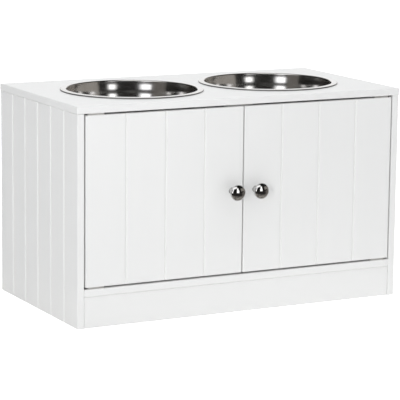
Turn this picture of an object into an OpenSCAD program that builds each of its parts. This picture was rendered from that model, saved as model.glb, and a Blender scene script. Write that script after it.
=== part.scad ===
// Raised feeding cabinet: a white board cabinet with two plank-grooved doors on
// knife hinges, and two pressed steel bowls that hang in its top board.
// Millimetres. X runs to the right, Y to the back, Z up. The origin lies on the
// floor, midway between left and right and between the knobs and the back.

/* [Cabinet] */
// Width of the top board
top_width = 600; // [560:5:760]
// Depth of the top board, front to back
top_depth = 320; // [290:5:420]
// Height of the top board's upper face above the floor
cabinet_height = 360; // [300:5:480]
// How far the top board stands out past each side panel
top_overhang_side = 1; // [0:0.5:8]
// How far the top board stands out past the doors
top_overhang_front = 1; // [0:0.5:8]
// Height of the kickboard below the bottom shelf
kick_height = 52; // [46:1:90]
// How far the kickboard stands back from the doors
kick_recess = 2; // [1:0.5:25]
// How far the back panel and the rear rail stand in from the rear edges
back_inset = 6; // [4:0.5:12]

/* [Boards] */
// Thickness of the top board
top_thickness = 12; // [11:0.5:22]
// Thickness of the side panels
side_thickness = 12; // [12:0.5:20]
// Thickness of the bottom shelf
shelf_thickness = 12; // [12:0.5:20]
// Thickness of the kickboard and the rear rail
rail_thickness = 12; // [12:0.5:20]
// Thickness of the doors
door_thickness = 12; // [12:0.5:18]
// Thickness of the back panel
back_thickness = 3; // [2.5:0.5:6]
// Radius on the painted edges of the boards
edge_radius = 1.5; // [0.5:0.1:2.5]
// Number of planks that the grooves mark on each side panel
side_planks = 6; // [4:1:8]
// Number of planks that the grooves mark on each door
door_planks = 4; // [2:1:6]
// Width of a V-groove at the face
groove_width = 4; // [2:0.5:6]
// Depth of a V-groove
groove_depth = 2; // [1:0.1:2.4]

/* [Doors] */
// Gap between the two doors
meeting_gap = 2; // [1:0.25:5]
// Room left between a swinging door corner and the side panel
swing_clearance = 0.85; // [0.4:0.05:3]
// Distance of a hinge pin from its door's outer edge
pivot_inset = 10; // [8:0.5:14]

/* [Knife hinges] */
// Length of a leaf
leaf_length = 28; // [26:1:40]
// Width of a leaf
leaf_width = 10; // [8:0.5:11]
// Thickness of a leaf
leaf_thickness = 1.2; // [1:0.1:2]
// Diameter of a hinge pin
pin_diameter = 4; // [3:0.1:5]
// How far a pin reaches into the door beyond its leaf
pin_tail = 2.5; // [1:0.5:6]
// Thickness of the washer between two leaves
washer_thickness = 0.5; // [0.3:0.1:1]
// Distance of the first leaf screw from the pin
leaf_screw_start = 9; // [8:0.5:12]
// Distance between the two screws of a leaf
leaf_screw_pitch = 9; // [7:0.5:10]

/* [Knobs] */
// How far a knob stands out from its door
knob_projection = 29; // [24:1:45]
// Diameter of a knob's head
knob_diameter = 27; // [20:1:36]
// Depth of a knob's head, front to back
knob_head_depth = 11; // [10:1:18]
// Diameter of a knob's foot, where it meets the door
knob_foot_diameter = 13; // [11:0.5:18]
// Diameter of a knob's neck
knob_neck_diameter = 9; // [8:0.5:10]
// Distance of a knob from the meeting edge of its door
knob_inset = 21; // [19:1:60]
// Diameter of a knob's screw
knob_screw_diameter = 4; // [3:0.5:5]
// Length of the knob screw that goes into the knob
knob_screw_reach = 10; // [6:1:16]

/* [Bowls] */
// Diameter over a bowl's rolled rim
bowl_rim_diameter = 240; // [200:1:248]
// Width of a bowl's flange, from the rolled edge to the mouth
bowl_flange_width = 10.5; // [8:0.5:16]
// Height of the rolled rim above the top board
bowl_rim_height = 2.5; // [2:0.1:4]
// Inside depth of a bowl, below the top board's face
bowl_depth = 70; // [40:1:110]
// How far the rolled edge stands above the flange
bowl_roll_proud = 0.3; // [0.1:0.05:0.6]
// Thickness of the bowls' sheet steel
bowl_steel = 0.8; // [0.6:0.1:1.2]
// Radius between a bowl's wall and its floor
bowl_corner_radius = 24; // [12:1:32]
// Lean of a bowl's wall from the vertical, degrees
bowl_wall_lean = 7; // [3:0.5:14]
// Radius over which the wall turns into the flange
bowl_lip_radius = 1.5; // [1:0.1:3]
// Distance between the two bowls' centres
bowl_spacing = 260; // [252:1:300]
// How far the bowls sit in front of the top board's middle
bowl_forward = 4; // [0:1:12]
// Room between a bowl's wall and its hole, at the radius
bowl_hole_clearance = 2; // [1:0.5:5]

/* [Magnetic catch] */
// Width of the catch's housing between its ears
catch_width = 46; // [44:1:60]
// Depth of the housing, front to back
catch_depth = 15; // [14:0.5:22]
// Length of each screwed ear
catch_ear_length = 9; // [8:0.5:14]
// Thickness of the ears
catch_ear_thickness = 2; // [1.5:0.5:4]
// Distance of the magnets' middle below the top board
magnet_drop = 10; // [9.5:0.5:16]
// Distance between the middles of the two magnets
magnet_spacing = 25; // [24:0.5:27]
// Width of a magnet
magnet_width = 13; // [10:0.5:15]
// Depth of a magnet, front to back
magnet_depth = 9; // [6:0.5:10]
// Thickness of a magnet
magnet_thickness = 5; // [3:0.5:6]
// Thickness of the pole plates above and below a magnet
pole_thickness = 1.2; // [0.8:0.1:1.4]
// How far the pole plates stand out of the housing
pole_proud = 0.8; // [0.4:0.1:1.5]
// Width of a strike plate
strike_width = 16; // [12:0.5:18]
// Height of a strike plate
strike_height = 11; // [9:0.5:12]
// Thickness of a strike plate
strike_thickness = 1; // [0.8:0.1:1.5]

/* [Fixings] */
// Diameter of the cam locks
cam_diameter = 12; // [11:0.5:14]
// How far the cam locks reach past the middle of their boards
cam_floor = 3.5; // [3.3:0.1:4]
// Distance of a cam's middle from the joint that it draws together
cam_reach = 20; // [18:0.5:26]
// Diameter of a cam bolt's thread
cam_thread_diameter = 5; // [4:0.5:5.5]
// Depth of cam bolt threads and dowels in the board across the joint
cam_thread_length = 8; // [6:0.5:9]
// Diameter of the wooden dowels
dowel_diameter = 6; // [5:0.5:6.5]
// Length of a dowel in the board that holds the cam
dowel_reach = 16; // [12:1:22]
// Height of the rail cams above the floor
rail_cam_height = 16; // [10:1:20]
// Height of the rail dowels above the floor
rail_dowel_height = 36; // [30:1:40]
// Diameter of the wood screws
screw_diameter = 2.5; // [2:0.1:3]
// Diameter of the wood screws' countersunk heads
screw_head_diameter = 4.8; // [4.2:0.1:5.4]
// Length of the wood screws
screw_length = 9.5; // [7:0.5:10]

/* [Hidden] */
$fn = 48;

LEFT = -1;
RIGHT = 1;

// Clearances
panel_play = 0.25;       // back panel in its grooves, each face
board_hole_play = 0.05;  // cams, dowels and threads in their holes, at the radius
shank_play = 0.3;        // bolt and screw shanks in their through holes, at the radius
screw_play = 0.03;       // wood screws in their holes, at the radius
pin_play = 0.05;         // hinge pins in the door leaves, at the radius
pin_fit = 0.01;          // hinge pins in the cabinet leaves, at the radius
hinge_play = 0.1;        // end play between a washer and a door leaf
catch_play = 0.2;        // strike plate to pole plates, doors shut
magnet_play = 0.2;       // magnets in their pockets, each side
rim_seat = 0.1;          // bowl rim above the top board
cut = 1;                 // how far a cutter runs past the face it opens

// Colours
white_paint = [0.94, 0.94, 0.93];
beech = [0.82, 0.68, 0.48];
steel = [0.75, 0.75, 0.77];
chrome = [0.80, 0.80, 0.82];
zinc = [0.68, 0.69, 0.71];
nylon = [0.90, 0.90, 0.88];
ferrite = [0.20, 0.20, 0.21];

// Front to back
whole_depth = knob_projection + top_depth - top_overhang_front;
door_y = knob_projection - whole_depth / 2;
rear_y = whole_depth / 2;
top_front_y = door_y - top_overhang_front;
top_middle_y = rear_y - top_depth / 2;
door_back_y = door_y + door_thickness;
kick_y = door_y + kick_recess;
side_depth = rear_y - door_y;
plank_depth = side_depth / side_planks;
back_slot = back_thickness + 2 * panel_play;
back_slot_y = rear_y - back_inset - back_thickness - panel_play;
rail_y = rear_y - back_inset - rail_thickness;

// Left to right
side_outer_x = top_width / 2 - top_overhang_side;
side_inner_x = side_outer_x - side_thickness;
inside_width = 2 * side_inner_x;
side_gap = norm([pivot_inset, door_thickness / 2]) - pivot_inset + swing_clearance;
door_width = (inside_width - meeting_gap) / 2 - side_gap;
plank_width = door_width / door_planks;
pivot_x = side_inner_x - side_gap - pivot_inset;
knob_x = meeting_gap / 2 + knob_inset;

// Bottom to top
side_height = cabinet_height - top_thickness;
shelf_top = kick_height + shelf_thickness;
hinge_gap = 2 * leaf_thickness + washer_thickness + hinge_play;
washer_inset = 1;
door_bottom = shelf_top + hinge_gap;
door_top = side_height - hinge_gap;
door_height = door_top - door_bottom;
knob_z = (door_bottom + door_top) / 2;
magnet_z = side_height - magnet_drop;
back_groove_depth = 5;
pivot_y = door_y + door_thickness / 2;

// Catch
pole_y = door_back_y + strike_thickness + catch_play;
housing_y = pole_y + pole_proud;
pocket_height = magnet_thickness + 2 * pole_thickness + 2 * magnet_play;
pocket_width = magnet_width + 2 * magnet_play;
housing_floor = 2;
housing_height = magnet_drop + pocket_height / 2 + housing_floor;
catch_screw_x = catch_width / 2 + catch_ear_length / 2;

// Bowls
bowl_mouth = bowl_rim_diameter / 2 - bowl_flange_width;
bowl_hole_radius = bowl_mouth + bowl_steel + bowl_hole_clearance;
bowl_y = top_middle_y - bowl_forward;

// ---------------------------------------------------------------- helpers

// Repeats its children on the right side, mirrored.
module both_sides() {
    children();
    mirror([1, 0, 0]) children();
}

// Shows its children, drawn for the left side, on the side asked for.
module on_side(side) {
    if (side == LEFT) {
        children();
    } else {
        mirror([1, 0, 0]) children();
    }
}

// A rectangle with round corners, its lower left corner at the origin.
module rounded_rectangle(a, b, r) {
    translate([r, 0]) square([a - 2 * r, b]);
    translate([0, r]) square([a, b - 2 * r]);
    for (x = [r, a - r], y = [r, b - r]) {
        translate([x, y]) circle(r);
    }
}

// A board with every edge rounded, its lowest corner at the origin.
module soft_board(x, y, z, r = edge_radius) {
    intersection() {
        linear_extrude(z) rounded_rectangle(x, y, r);
        translate([0, y, 0]) rotate([90, 0, 0]) linear_extrude(y) rounded_rectangle(x, z, r);
        rotate([90, 0, 90]) linear_extrude(x) rounded_rectangle(y, z, r);
    }
}

// The V-grooves between planks, cut into the face at y = 0, running up Z.
module plank_grooves(pitch, planks, height) {
    spread = groove_width / 2 * (1 + cut / groove_depth);
    for (i = [1 : planks - 1]) {
        translate([i * pitch, 0, -cut]) linear_extrude(height + 2 * cut)
            polygon([[-spread, -cut], [spread, -cut], [0, groove_depth]]);
    }
}

// Middle of a side panel's plank, counted from the front.
function plank_y(i) = door_y + plank_depth * (i + 0.5);

// A countersunk wood screw: the head's face is at the origin, the shank runs down -Z.
module wood_screw(grow = 0) {
    head_height = (screw_head_diameter - screw_diameter) / 2;
    translate([0, 0, -head_height])
        cylinder(d1 = screw_diameter + 2 * grow, d2 = screw_head_diameter + 2 * grow, h = head_height);
    translate([0, 0, -screw_length])
        cylinder(d = screw_diameter + 2 * grow, h = screw_length);
}

// The hole that a wood screw needs, in the leaf and the board behind it.
module wood_screw_hole() {
    wood_screw(screw_play);
    cylinder(d = screw_head_diameter + 2 * screw_play, h = cut);
}

// A cross cut into a screw's or cam's face at the origin, facing +Z.
module cross_recess(span, slot, depth) {
    for (turn = [0, 90]) {
        rotate([0, 0, turn]) translate([-span / 2, -slot / 2, -depth])
            cube([span, slot, depth + cut]);
    }
}

// A wood screw with its driver recess.
module driven_wood_screw() {
    slot = 0.6;
    slot_depth = 0.8;
    difference() {
        wood_screw();
        cross_recess(screw_diameter, slot, slot_depth);
    }
}

// ------------------------------------------------- cam joints and dowels
// A joint's own frame: the joint's face is z = 0, the board that holds the cam
// is on +Z, and the cam's open face looks along +X from the board's middle.

cam_neck_diameter = 3;
cam_head_diameter = 5;
cam_head_length = 3;
cam_shank_diameter = cam_thread_diameter + 0.4;
cam_rim_gap = 0.5;
cam_slot_play = 0.3;
cam_cross_span = 7;
cam_cross_slot = 1.2;
cam_cross_depth = 1.8;

module cam_bolt() {
    shank = cam_reach - cam_diameter / 2 - cam_rim_gap;
    translate([0, 0, -cam_thread_length]) cylinder(d = cam_thread_diameter, h = cam_thread_length);
    cylinder(d = cam_shank_diameter, h = shank);
    cylinder(d = cam_neck_diameter, h = cam_reach);
    translate([0, 0, cam_reach - cam_head_length / 2])
        cylinder(d = cam_head_diameter, h = cam_head_length);
}

module cam_bolt_thread_hole() {
    translate([0, 0, -cam_thread_length - cam_rim_gap])
        cylinder(d = cam_thread_diameter + 2 * board_hole_play, h = cam_thread_length + cam_rim_gap + cut);
}

// The cam lock of a board that is `board` thick.
module cam_lock(board) {
    slot = cam_neck_diameter + 2 * cam_slot_play;
    room = cam_head_diameter + 2 * cam_slot_play;
    room_length = cam_head_length + 2 * cam_slot_play;
    difference() {
        translate([board / 2, 0, cam_reach]) rotate([0, -90, 0])
            cylinder(d = cam_diameter, h = board / 2 + cam_floor);
        translate([-room / 2, -room / 2, cam_reach - room_length / 2])
            cube([room, room, room_length]);
        translate([-slot / 2, -slot / 2, cam_reach - cam_diameter])
            cube([slot, slot, cam_diameter]);
        translate([board / 2, 0, cam_reach]) rotate([0, 90, 0])
            cross_recess(cam_cross_span, cam_cross_slot, cam_cross_depth);
    }
}

// The pocket for a cam lock and the bore that leads its bolt there.
module cam_lock_hole(board) {
    translate([board / 2 + cut, 0, cam_reach]) rotate([0, -90, 0])
        cylinder(d = cam_diameter + 2 * board_hole_play, h = board / 2 + cam_floor + board_hole_play + cut);
    translate([0, 0, -cut])
        cylinder(d = cam_shank_diameter + 2 * shank_play, h = cam_reach + cut);
}

module dowel() {
    translate([0, 0, -cam_thread_length])
        cylinder(d = dowel_diameter, h = cam_thread_length + dowel_reach);
}

module dowel_hole() {
    spare = 0.5;
    translate([0, 0, -cam_thread_length - spare])
        cylinder(d = dowel_diameter + 2 * board_hole_play, h = cam_thread_length + dowel_reach + 2 * spare);
}

// Places of the joints on the left side, each in the frame described above.
module at_top_joint(plank) {
    translate([-side_inner_x - side_thickness / 2, plank_y(plank), side_height]) rotate([180, 0, 0])
        children();
}

module at_shelf_joint(plank) {
    translate([-side_inner_x, plank_y(plank), kick_height + shelf_thickness / 2]) rotate([0, 90, 0])
        children();
}

module at_kick_joint(height) {
    translate([-side_inner_x, kick_y + rail_thickness / 2, height]) rotate([90, 0, 90])
        children();
}

module at_rail_joint(height) {
    translate([-side_inner_x, rail_y + rail_thickness / 2, height]) rotate([-90, 0, -90])
        children();
}

top_cam_planks = [0, side_planks - 1];
top_dowel_planks = [1, side_planks - 2];
shelf_cam_planks = [1, side_planks - 2];
shelf_dowel_planks = [0, side_planks - 1];

// ------------------------------------------------------------ cabinet boards

module top_board() {
    color(white_paint) difference() {
        translate([-top_width / 2, top_front_y, side_height])
            soft_board(top_width, top_depth, top_thickness);
        both_sides() translate([bowl_spacing / 2, bowl_y, side_height - cut])
            cylinder(r = bowl_hole_radius, h = top_thickness + 2 * cut, $fn = 96);
        translate([-side_inner_x - back_groove_depth, back_slot_y, side_height - cut])
            cube([inside_width + 2 * back_groove_depth, back_slot, back_groove_depth + cut]);
        both_sides() {
            for (i = top_cam_planks) at_top_joint(i) cam_bolt_thread_hole();
            for (i = top_dowel_planks) at_top_joint(i) dowel_hole();
        }
        for (side = [LEFT, RIGHT]) at_hinge(side, true) cabinet_leaf_screw_holes();
        both_sides() at_catch_screw() catch_screw_hole();
    }
}

// The left side panel: grooves on its outer face, joints on its inner one.
module side_panel() {
    difference() {
        translate([-side_outer_x, rear_y, 0]) rotate([0, 0, -90])
            soft_board(side_depth, side_thickness, side_height);
        translate([-side_outer_x, rear_y, 0]) rotate([0, 0, -90])
            plank_grooves(plank_depth, side_planks, side_height);
        translate([-side_inner_x - back_groove_depth, back_slot_y, kick_height])
            cube([back_groove_depth + cut, back_slot, side_height]);
        for (i = top_cam_planks) at_top_joint(i) cam_lock_hole(side_thickness);
        for (i = top_dowel_planks) at_top_joint(i) dowel_hole();
        for (i = shelf_cam_planks) at_shelf_joint(i) cam_bolt_thread_hole();
        for (i = shelf_dowel_planks) at_shelf_joint(i) dowel_hole();
        at_kick_joint(rail_cam_height) cam_bolt_thread_hole();
        at_kick_joint(rail_dowel_height) dowel_hole();
        at_rail_joint(rail_cam_height) cam_bolt_thread_hole();
        at_rail_joint(rail_dowel_height) dowel_hole();
    }
}

module left_side_panel() {
    color(white_paint) side_panel();
}

module right_side_panel() {
    color(white_paint) mirror([1, 0, 0]) side_panel();
}

module bottom_shelf() {
    shelf_depth = back_slot_y - door_y;
    color(white_paint) difference() {
        translate([-side_inner_x, door_y, kick_height])
            soft_board(inside_width, shelf_depth, shelf_thickness);
        both_sides() {
            for (i = shelf_cam_planks) at_shelf_joint(i) cam_lock_hole(shelf_thickness);
            for (i = shelf_dowel_planks) at_shelf_joint(i) dowel_hole();
        }
        for (side = [LEFT, RIGHT]) at_hinge(side, false) cabinet_leaf_screw_holes();
    }
}

module kickboard() {
    color(white_paint) difference() {
        translate([-side_inner_x, kick_y, 0])
            soft_board(inside_width, rail_thickness, kick_height);
        both_sides() {
            at_kick_joint(rail_cam_height) cam_lock_hole(rail_thickness);
            at_kick_joint(rail_dowel_height) dowel_hole();
        }
    }
}

module rear_rail() {
    color(white_paint) difference() {
        translate([-side_inner_x, rail_y, 0])
            soft_board(inside_width, rail_thickness, kick_height);
        both_sides() {
            at_rail_joint(rail_cam_height) cam_lock_hole(rail_thickness);
            at_rail_joint(rail_dowel_height) dowel_hole();
        }
    }
}

// A thin board that slides in the grooves of the sides and the top.
module back_panel() {
    reach = back_groove_depth - panel_play;
    color(white_paint)
        translate([-side_inner_x - reach, back_slot_y + panel_play, kick_height])
        cube([inside_width + 2 * reach, back_thickness, side_height - kick_height + reach]);
}

// ----------------------------------------------------------- board fixings

module cam_bolts() {
    color(zinc) both_sides() {
        for (i = top_cam_planks) at_top_joint(i) cam_bolt();
        for (i = shelf_cam_planks) at_shelf_joint(i) cam_bolt();
        at_kick_joint(rail_cam_height) cam_bolt();
        at_rail_joint(rail_cam_height) cam_bolt();
    }
}

module cam_locks() {
    color(zinc) both_sides() {
        for (i = top_cam_planks) at_top_joint(i) cam_lock(side_thickness);
        for (i = shelf_cam_planks) at_shelf_joint(i) cam_lock(shelf_thickness);
        at_kick_joint(rail_cam_height) cam_lock(rail_thickness);
        at_rail_joint(rail_cam_height) cam_lock(rail_thickness);
    }
}

module dowels() {
    color(beech) both_sides() {
        for (i = top_dowel_planks) at_top_joint(i) dowel();
        for (i = shelf_dowel_planks) at_shelf_joint(i) dowel();
        at_kick_joint(rail_dowel_height) dowel();
        at_rail_joint(rail_dowel_height) dowel();
    }
}

// ------------------------------------------------------------ knife hinges
// A hinge's own frame: the origin is on the pin's axis where it leaves the top
// board or the shelf, +Z points at the door and +X along its edge to the middle.

module at_hinge(side, upper) {
    on_side(side) translate([-pivot_x, pivot_y, upper ? side_height : shelf_top])
        rotate([upper ? 180 : 0, 0, 0]) children();
}

// A leaf's outline: round at the pin, slightly rounded at the far end.
module leaf_outline() {
    end_radius = 1;
    end_x = leaf_length - leaf_width / 2;
    circle(d = leaf_width);
    translate([0, -leaf_width / 2]) square([end_x - end_radius, leaf_width]);
    translate([0, end_radius - leaf_width / 2]) square([end_x, leaf_width - 2 * end_radius]);
    for (y = [-1, 1]) {
        translate([end_x - end_radius, y * (leaf_width / 2 - end_radius)]) circle(end_radius);
    }
}

// A leaf lying on z = 0, with its screw heads sunk in the upper face.
module leaf(pin_hole) {
    difference() {
        linear_extrude(leaf_thickness) leaf_outline();
        translate([0, 0, -cut]) cylinder(d = pin_hole, h = leaf_thickness + 2 * cut);
        at_leaf_screws() wood_screw_hole();
    }
}

module at_leaf_screws() {
    for (i = [0, 1]) {
        translate([leaf_screw_start + i * leaf_screw_pitch, 0, leaf_thickness]) children();
    }
}

// Turns its children over, onto the door's edge across the hinge gap.
module on_door_edge() {
    translate([0, 0, hinge_gap]) rotate([180, 0, 0]) children();
}

module cabinet_leaf(side, upper) {
    color(steel) at_hinge(side, upper) leaf(pin_diameter + 2 * pin_fit);
}

module door_leaf(side, upper) {
    color(steel) at_hinge(side, upper) on_door_edge() leaf(pin_diameter + 2 * pin_play);
}

module cabinet_leaf_screw_holes() {
    at_leaf_screws() wood_screw_hole();
}

module upper_left_leaf() {
    cabinet_leaf(LEFT, true);
}

module lower_left_leaf() {
    cabinet_leaf(LEFT, false);
}

module upper_right_leaf() {
    cabinet_leaf(RIGHT, true);
}

module lower_right_leaf() {
    cabinet_leaf(RIGHT, false);
}

module at_every_hinge() {
    for (side = [LEFT, RIGHT], upper = [true, false]) {
        at_hinge(side, upper) children();
    }
}

// Pins riveted in the cabinet leaves; each ends in a small chamfer.
module hinge_pins() {
    chamfer = 0.5;
    reach = hinge_gap + pin_tail;
    color(steel) at_every_hinge() {
        cylinder(d = pin_diameter, h = reach - chamfer);
        translate([0, 0, reach - chamfer])
            cylinder(d1 = pin_diameter, d2 = pin_diameter - 2 * chamfer, h = chamfer);
    }
}

module hinge_washers() {
    washer_diameter = leaf_width - 2 * washer_inset;
    color(nylon) at_every_hinge() translate([0, 0, leaf_thickness]) difference() {
        cylinder(d = washer_diameter, h = washer_thickness);
        translate([0, 0, -cut]) cylinder(d = pin_diameter + 2 * pin_play, h = washer_thickness + 2 * cut);
    }
}

module cabinet_leaf_screws() {
    color(steel) at_every_hinge() at_leaf_screws() driven_wood_screw();
}

module door_leaf_screws(side) {
    color(steel) for (upper = [true, false]) {
        at_hinge(side, upper) on_door_edge() at_leaf_screws() driven_wood_screw();
    }
}

// ------------------------------------------------------------------- doors

// The left door, closed, with the holes for its leaves, knob and strike plate.
module door() {
    pin_room = 1;
    difference() {
        translate([-meeting_gap / 2 - door_width, door_y, door_bottom])
            soft_board(door_width, door_thickness, door_height);
        translate([-meeting_gap / 2 - door_width, door_y, door_bottom])
            plank_grooves(plank_width, door_planks, door_height);
        for (upper = [true, false]) {
            at_hinge(LEFT, upper) {
                on_door_edge() at_leaf_screws() wood_screw_hole();
                translate([0, 0, hinge_gap - cut])
                    cylinder(d = pin_diameter + 2 * pin_room, h = cut + pin_tail + pin_room);
            }
        }
        at_knob() translate([0, 0, -door_thickness - cut])
            cylinder(d = knob_screw_diameter + 2 * shank_play, h = door_thickness + 2 * cut);
        at_strike() wood_screw_hole();
    }
}

module left_door() {
    color(white_paint) door();
}

module right_door() {
    color(white_paint) mirror([1, 0, 0]) door();
}

module left_door_upper_leaf() {
    door_leaf(LEFT, true);
}

module left_door_lower_leaf() {
    door_leaf(LEFT, false);
}

module right_door_upper_leaf() {
    door_leaf(RIGHT, true);
}

module right_door_lower_leaf() {
    door_leaf(RIGHT, false);
}

module left_door_leaf_screws() {
    door_leaf_screws(LEFT);
}

module right_door_leaf_screws() {
    door_leaf_screws(RIGHT);
}

// ------------------------------------------------------------------- knobs

// The left knob's frame: the origin on the door's face, +Z out to the front.
module at_knob() {
    translate([-knob_x, door_y, knob_z]) rotate([90, 0, 0]) children();
}

// Points on an arc, from one angle to another.
function arc(centre, r, from, to, steps) = [
    for (i = [0 : steps])
        let (a = from + (to - from) * i / steps)
        centre + r * [cos(a), sin(a)]
];

// Half of a knob's section: radius across, distance from the door upwards. The
// head is a domed button, and a hollow curve leads from the foot to the head.
module knob_section() {
    foot = knob_foot_diameter / 2;
    neck = knob_neck_diameter / 2;
    head = knob_diameter / 2;
    foot_height = 1.6;
    rim_share = 0.36;   // height of the widest ring, as a share of the head's depth
    back_share = 0.62;  // radius of the head's flat back, as a share of the head's
    foot_share = 0.45;  // share of the neck that the foot's hollow curve takes
    head_back = knob_projection - knob_head_depth;
    rim_height = knob_head_depth * rim_share;
    rim_z = head_back + rim_height;
    dome = knob_head_depth - rim_height;
    back = head * back_share;
    foot_waist = (head_back - foot_height) * foot_share;
    head_waist = (head_back - foot_height) * (1 - foot_share);
    steps = 10;
    turns = [for (i = [1 : steps]) 90 * i / steps];
    polygon(concat(
        [[0, 0], [foot, 0], [foot, foot_height]],
        [for (a = turns) [neck + (foot - neck) * (1 - sin(a)), foot_height + foot_waist * (1 - cos(a))]],
        [for (a = turns) [neck + (back - neck) * (1 - cos(a)), head_back - head_waist * (1 - sin(a))]],
        [for (a = turns) [back + (head - back) * sin(a), rim_z - rim_height * cos(a)]],
        [for (a = turns) [a == 90 ? 0 : head * cos(a), rim_z + dome * sin(a)]]
    ));
}

module knob() {
    tap_spare = 1;
    difference() {
        rotate_extrude($fn = 64) knob_section();
        translate([0, 0, -cut])
            cylinder(d = knob_screw_diameter + 2 * board_hole_play, h = knob_screw_reach + tap_spare + cut);
    }
}

// A machine screw through the door into the knob, its head on the door's back.
module knob_screw() {
    head_height = 2.4;
    head_diameter = 2 * knob_screw_diameter;
    crown_diameter = 1.5 * knob_screw_diameter;
    slot = 1;
    slot_depth = 1.4;
    translate([0, 0, -door_thickness])
        cylinder(d = knob_screw_diameter, h = door_thickness + knob_screw_reach);
    translate([0, 0, -door_thickness - head_height]) difference() {
        cylinder(d1 = crown_diameter, d2 = head_diameter, h = head_height);
        rotate([180, 0, 0]) cross_recess(knob_screw_diameter, slot, slot_depth);
    }
}

module left_knob() {
    color(chrome) at_knob() knob();
}

module right_knob() {
    color(chrome) mirror([1, 0, 0]) at_knob() knob();
}

module left_knob_screw() {
    color(zinc) at_knob() knob_screw();
}

module right_knob_screw() {
    color(zinc) mirror([1, 0, 0]) at_knob() knob_screw();
}

// ---------------------------------------------------------- magnetic catch

// The left catch screw's frame: the ear's lower face, +Z down and away from it.
module at_catch_screw() {
    translate([-catch_screw_x, housing_y + catch_depth / 2, side_height - catch_ear_thickness])
        rotate([180, 0, 0]) children();
}

module catch_screw() {
    head_height = 1.8;
    head_taper = 0.6;
    slot = 0.7;
    slot_depth = 1;
    difference() {
        union() {
            cylinder(d1 = screw_head_diameter + head_taper, d2 = screw_head_diameter - head_taper,
                     h = head_height);
            translate([0, 0, -screw_length]) cylinder(d = screw_diameter, h = screw_length);
        }
        translate([0, 0, head_height]) cross_recess(screw_diameter, slot, slot_depth);
    }
}

module catch_screw_hole() {
    translate([0, 0, -screw_length - screw_play])
        cylinder(d = screw_diameter + 2 * screw_play, h = screw_length + screw_play + cut);
}

// A moulded housing with two pockets open to the front and a slotted ear at
// each end, screwed up against the top board.
module catch_housing() {
    span = catch_width + 2 * catch_ear_length;
    slot = screw_diameter + 2 * shank_play;
    slot_travel = 3;
    ear_radius = 3;
    moulded_radius = 0.8;
    color(nylon) difference() {
        union() {
            translate([-catch_width / 2, housing_y, side_height - housing_height])
                soft_board(catch_width, catch_depth, housing_height, moulded_radius);
            translate([-span / 2, housing_y, side_height - catch_ear_thickness])
                linear_extrude(catch_ear_thickness) rounded_rectangle(span, catch_depth, ear_radius);
        }
        for (side = [LEFT, RIGHT]) {
            translate([side * magnet_spacing / 2 - pocket_width / 2, housing_y - cut,
                       magnet_z - pocket_height / 2])
                cube([pocket_width, magnet_depth + pole_proud + cut, pocket_height]);
        }
        both_sides() at_catch_screw() translate([0, 0, -catch_ear_thickness - cut])
            linear_extrude(catch_ear_thickness + 2 * cut) {
                for (y = [-1, 1]) {
                    translate([0, y * slot_travel / 2]) circle(d = slot);
                }
                square([slot, slot_travel], center = true);
            }
    }
}

module catch_magnets() {
    color(ferrite) for (side = [LEFT, RIGHT]) {
        translate([side * magnet_spacing / 2 - magnet_width / 2, housing_y,
                   magnet_z - magnet_thickness / 2])
            cube([magnet_width, magnet_depth, magnet_thickness]);
    }
}

module catch_pole_plates() {
    offset_z = magnet_thickness / 2 + pole_thickness / 2;
    color(steel) for (side = [LEFT, RIGHT], level = [-1, 1]) {
        translate([side * magnet_spacing / 2 - magnet_width / 2, pole_y,
                   magnet_z + level * offset_z - pole_thickness / 2])
            cube([magnet_width, magnet_depth + pole_proud, pole_thickness]);
    }
}

module catch_screws() {
    color(zinc) both_sides() at_catch_screw() catch_screw();
}

// The left strike plate's frame: the middle of its face, +Z into the cabinet.
module at_strike() {
    translate([-magnet_spacing / 2, door_back_y + strike_thickness, magnet_z]) rotate([-90, 0, 0])
        children();
}

module strike_plate() {
    corner_radius = 1.5;
    difference() {
        translate([-strike_width / 2, -strike_height / 2, -strike_thickness])
            linear_extrude(strike_thickness)
            rounded_rectangle(strike_width, strike_height, corner_radius);
        wood_screw_hole();
    }
}

module left_strike_plate() {
    color(steel) at_strike() strike_plate();
}

module right_strike_plate() {
    color(steel) mirror([1, 0, 0]) at_strike() strike_plate();
}

module left_strike_screw() {
    color(steel) at_strike() driven_wood_screw();
}

module right_strike_screw() {
    color(steel) mirror([1, 0, 0]) at_strike() driven_wood_screw();
}

// ------------------------------------------------------------------- bowls

// Half of a bowl's section, with z = 0 on the top board's face. The sheet's two
// faces share the centres of their arcs, so the steel keeps its thickness.
module bowl_section() {
    lean = bowl_wall_lean;
    lip_in = bowl_lip_radius + bowl_steel;
    flange_z = bowl_rim_height - bowl_roll_proud;
    lip = [bowl_mouth + lip_in, flange_z - lip_in];
    wall_top = lip + lip_in * [-cos(lean), sin(lean)];
    wall = (wall_top[1] + bowl_depth - bowl_corner_radius * (1 - sin(lean))) / cos(lean);
    corner = [wall_top[0] - wall * sin(lean) - bowl_corner_radius * cos(lean),
              bowl_corner_radius - bowl_depth];
    roll = bowl_rim_height / 2;
    roll_centre = [bowl_rim_diameter / 2 - roll, roll];
    roll_start = 180 - asin((flange_z - roll) / roll);
    roll_end = -180 - asin((flange_z - bowl_steel - roll) / roll);
    polygon(concat(
        [[0, -bowl_depth]],
        arc(corner, bowl_corner_radius, -90, -lean, 12),
        arc(lip, lip_in, 180 - lean, 90, 5),
        arc(roll_centre, roll, roll_start, roll_end, 16),
        arc(lip, bowl_lip_radius, 90, 180 - lean, 5),
        arc(corner, bowl_corner_radius + bowl_steel, -lean, -90, 12),
        [[0, -bowl_depth - bowl_steel]]
    ));
}

module bowl(side) {
    color(steel) translate([side * bowl_spacing / 2, bowl_y, cabinet_height + rim_seat])
        rotate_extrude($fn = 96) bowl_section();
}

module left_bowl() {
    bowl(LEFT);
}

module right_bowl() {
    bowl(RIGHT);
}

// ---------------------------------------------------------------- assembly

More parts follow.
